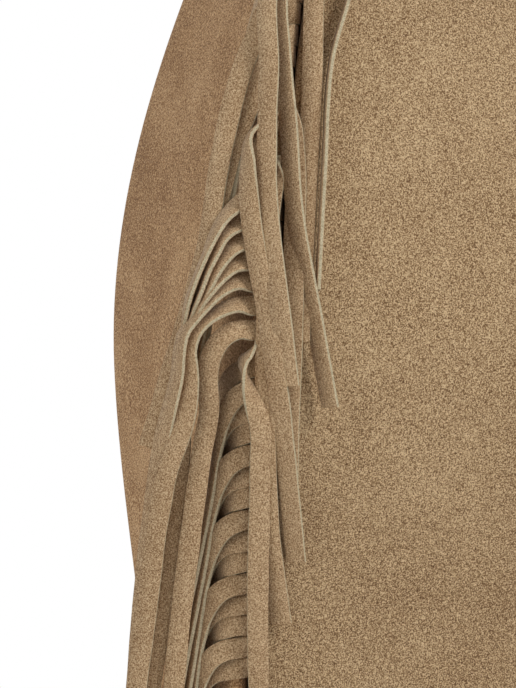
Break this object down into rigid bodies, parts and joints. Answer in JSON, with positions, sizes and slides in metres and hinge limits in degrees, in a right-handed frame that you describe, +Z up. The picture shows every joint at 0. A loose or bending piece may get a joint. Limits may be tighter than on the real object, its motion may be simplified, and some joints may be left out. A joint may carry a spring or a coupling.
{
  "type": "fringed suede shoulder bag",
  "caption": "Soft gusseted suede shoulder bag with a fringe in each front seam, a cotton lining, a magnetic snap and one wide strap.",
  "frame": {"origin": "middle of the base's flat underside", "axes": "+Z up to the mouth and strap, the fringed front faces -Y, +X to the right seen from the front"},
  "size_m": [0.378, 0.1164, 0.5514],
  "materials": {
    "panel_suede": "napped suede, matt",
    "gusset_suede": "napped suede, matt",
    "fringe_suede": "napped suede, matt, raw cut edges",
    "base_suede": "napped suede, matt",
    "strap_suede": "napped suede, matt",
    "grey_board": "grey board",
    "lining_cotton": "cotton twill",
    "snap_nickel": "nickel plate"
  },
  "bodies": {
    "root": {"front_panel": "panel_suede", "back_panel": "panel_suede", "gusset_left": "gusset_suede", "gusset_right": "gusset_suede", "fringe_left": "fringe_suede", "fringe_right": "fringe_suede", "base_panel": "base_suede", "base_board": "grey_board", "lining": "lining_cotton", "slip_pocket": "lining_cotton", "top_facing": "gusset_suede", "snap_stud": "snap_nickel", "snap_socket": "snap_nickel", "strap": "strap_suede"}
  },
  "joints": []
}
